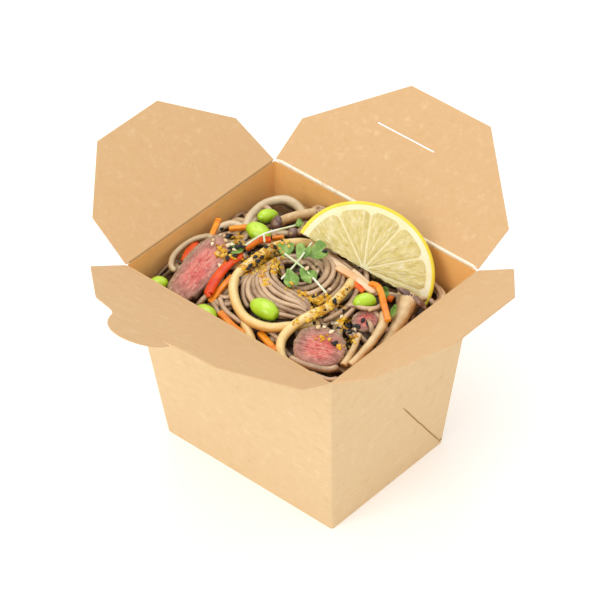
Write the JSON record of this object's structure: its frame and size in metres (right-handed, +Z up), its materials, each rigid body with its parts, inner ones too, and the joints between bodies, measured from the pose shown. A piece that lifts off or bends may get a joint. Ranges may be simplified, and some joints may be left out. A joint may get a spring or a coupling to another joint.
{
  "type": "noodle takeaway box",
  "caption": "Kraft board takeaway box with hinged open flaps, filled with noodles, sliced beef, lemon and vegetables.",
  "frame": {"origin": "centre of the base, on the surface that it stands on", "axes": "+X towards the right wall, -Y towards the front wall with the tabbed flap, +Z up"},
  "size_m": [0.2085, 0.216, 0.1364],
  "materials": {
    "kraft_board": "uncoated brown kraft board, matt, with fine fibre flecks",
    "noodle": "cooked wheat and buckwheat noodles, lightly glossy with sauce",
    "beef": "seared beef, pink in the middle, moist",
    "lemon": "cut lemon, wet flesh, white pith, yellow rind",
    "green_bean": "shelled green soy bean, smooth and glossy",
    "red_pepper": "red pepper strip, glossy skin",
    "carrot": "carrot strip, moist cut faces",
    "mushroom": "cooked mushroom, fibrous stem and darker cap",
    "greens": "fresh small leaves on pale stems"
  },
  "bodies": {
    "box": {"tray": "kraft_board", "noodles": "noodle", "beef_left": "beef", "beef_front": "beef", "beef_back": "beef", "lemon_half": "lemon", "bean_front_left": "green_bean", "bean_front": "green_bean", "bean_back": "green_bean", "bean_split": "green_bean", "bean_centre": "green_bean", "bean_right": "green_bean", "pepper_long": "red_pepper", "pepper_short": "red_pepper", "pepper_left": "red_pepper", "pepper_right": "red_pepper", "pepper_end": "red_pepper", "carrot_back_left": "carrot", "carrot_left": "carrot", "carrot_long": "carrot", "carrot_front_left": "carrot", "carrot_front": "carrot", "carrot_top": "carrot", "carrot_bent": "carrot", "carrot_lemon": "carrot", "mushroom_back": "mushroom", "mushroom_small": "mushroom", "mushroom_right": "mushroom", "mushroom_stem": "mushroom", "mushroom_sliver": "mushroom", "sprig_left": "greens", "sprig_centre": "greens", "herb_leaf_back": "greens", "herb_leaf_front": "greens"},
    "left_flap": {"flap_left": "kraft_board"},
    "right_flap": {"flap_right": "kraft_board"},
    "front_flap": {"flap_front": "kraft_board"},
    "back_flap": {"flap_back": "kraft_board"}
  },
  "joints": [
    {"name": "left_fold", "type": "hinge", "parent": "box", "child": "left_flap", "pos_m": [-0.06055, 0, 0.10055], "axis": [0, 1, 0], "range_deg": [-108, 126]},
    {"name": "right_fold", "type": "hinge", "parent": "box", "child": "right_flap", "pos_m": [0.06055, 0, 0.10055], "axis": [0, -1, 0], "range_deg": [-107, 121]},
    {"name": "front_fold", "type": "hinge", "parent": "box", "child": "front_flap", "pos_m": [0, -0.04955, 0.10055], "axis": [-1, 0, 0], "range_deg": [-103, 66]},
    {"name": "back_fold", "type": "hinge", "parent": "box", "child": "back_flap", "pos_m": [0, 0.04955, 0.10055], "axis": [1, 0, 0], "range_deg": [-104, 62]}
  ]
}
